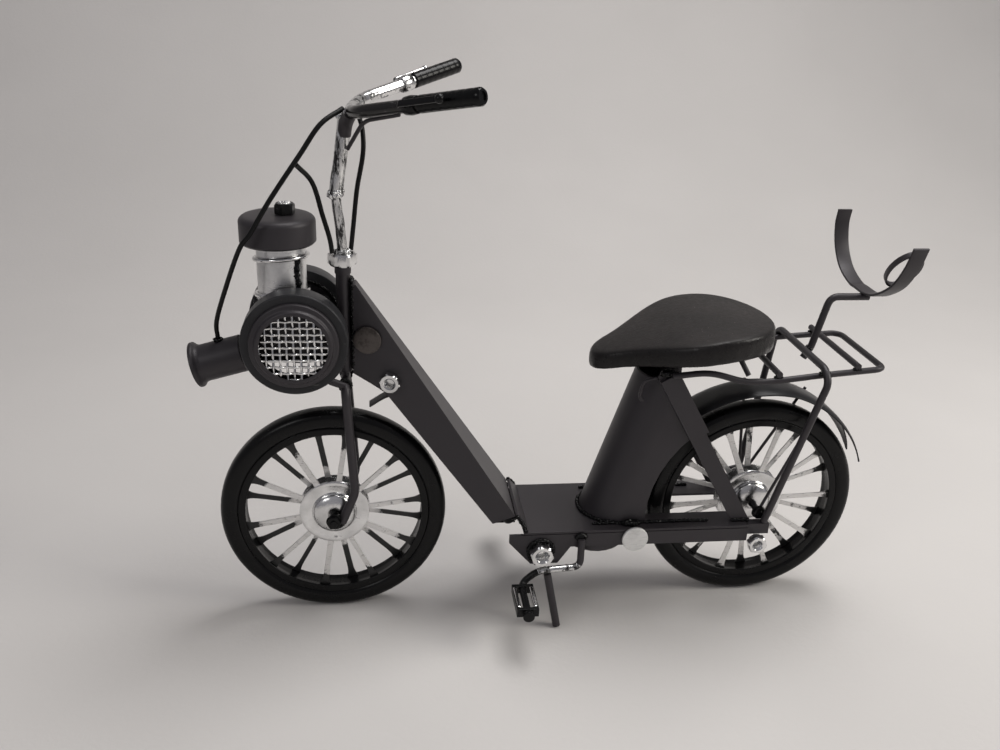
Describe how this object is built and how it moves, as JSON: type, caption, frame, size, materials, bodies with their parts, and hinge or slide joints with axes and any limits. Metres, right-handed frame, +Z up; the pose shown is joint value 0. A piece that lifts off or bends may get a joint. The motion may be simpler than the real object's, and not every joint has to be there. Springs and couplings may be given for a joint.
{
  "type": "toy moped bottle holder",
  "caption": "Welded metal toy moped with see-through engine drums, flat-spoked wheels, turning handlebar, padded seat, rear rack and a curved cradle for a lying bottle.",
  "frame": {"origin": "on the ground under the middle of the bounding box, in the middle plane", "axes": "+X forward, +Y to the rider's left, +Z up"},
  "size_m": [0.3786, 0.139, 0.3016],
  "materials": {
    "black_enamel": "satin black paint over welded sheet and rod",
    "black_tyre": "smooth semi-gloss black paint on a steel ring",
    "chrome": "bright plated, scuffed with dark stains",
    "brushed_steel": "silver with brush marks and dark scuffs",
    "grey_steel": "dull grey with heat marks",
    "black_vinyl": "matt black vinyl with specks of dust",
    "black_wire": "matt black sleeve"
  },
  "bodies": {
    "frame": {"belly_pan": "black_enamel", "bracket_spindle": "black_enamel", "cradle_loop": "black_enamel", "cradle_rod": "black_enamel", "cradle_strap": "black_enamel", "floor_plate": "black_enamel", "frame_disc": "grey_steel", "frame_nut": "chrome", "frame_spine": "black_enamel", "front_mudguard": "black_enamel", "head_tube": "black_enamel", "left_bracket_nut": "chrome", "left_pedal_arm": "chrome", "left_rail": "black_enamel", "left_rear_nut": "chrome", "left_seat_stay": "black_enamel", "rack_front_bar": "black_enamel", "rack_loop": "black_enamel", "rack_rear_bar": "black_enamel", "rack_stay": "black_enamel", "rail_disc": "grey_steel", "rear_axle": "black_enamel", "rear_mudguard": "black_enamel", "right_bracket_nut": "chrome", "right_pedal_arm": "chrome", "right_rail": "black_enamel", "right_rear_nut": "chrome", "right_seat_stay": "black_enamel", "seat": "black_vinyl", "seat_body": "black_enamel", "seat_hook": "black_enamel", "side_stand": "black_enamel"},
    "steering": {"fork": "black_enamel", "front_axle": "black_enamel", "stem_nut": "chrome", "stem": "brushed_steel", "handlebar": "chrome", "left_grip": "black_enamel", "right_grip": "black_enamel", "left_lever": "chrome", "right_lever": "chrome", "front_cable": "black_wire", "left_cable": "black_wire", "right_cable": "black_wire", "left_drum": "black_enamel", "right_drum": "black_enamel", "left_grille": "chrome", "right_grille": "chrome", "crankcase": "black_enamel", "cylinder": "brushed_steel", "engine_cap": "black_enamel", "cap_bolt": "black_enamel", "headlamp": "black_enamel"},
    "front_wheel": {"front_wheel": "brushed_steel", "front_tyre": "black_tyre"},
    "rear_wheel": {"rear_wheel": "brushed_steel", "rear_tyre": "black_tyre"},
    "left_pedal": {"left_pedal": "black_enamel"},
    "right_pedal": {"right_pedal": "black_enamel"}
  },
  "joints": [
    {"name": "steering_turn", "type": "hinge", "parent": "frame", "child": "steering", "pos_m": [0.10923, 0, 0.205], "axis": [0, 0, 1], "range_deg": [-35, 35]},
    {"name": "front_wheel_spin", "type": "hinge", "parent": "steering", "child": "front_wheel", "pos_m": [0.11723, 0, 0.0625], "axis": [0, 1, 0], "continuous": true},
    {"name": "rear_wheel_spin", "type": "hinge", "parent": "frame", "child": "rear_wheel", "pos_m": [-0.12577, 0, 0.0625], "axis": [0, 1, 0], "continuous": true},
    {"name": "left_pedal_spin", "type": "hinge", "parent": "frame", "child": "left_pedal", "pos_m": [0.01373, 0.0475, 0.029], "axis": [0, 1, 0], "continuous": true},
    {"name": "right_pedal_spin", "type": "hinge", "parent": "frame", "child": "right_pedal", "pos_m": [0.01373, -0.0475, 0.029], "axis": [0, 1, 0], "continuous": true}
  ]
}
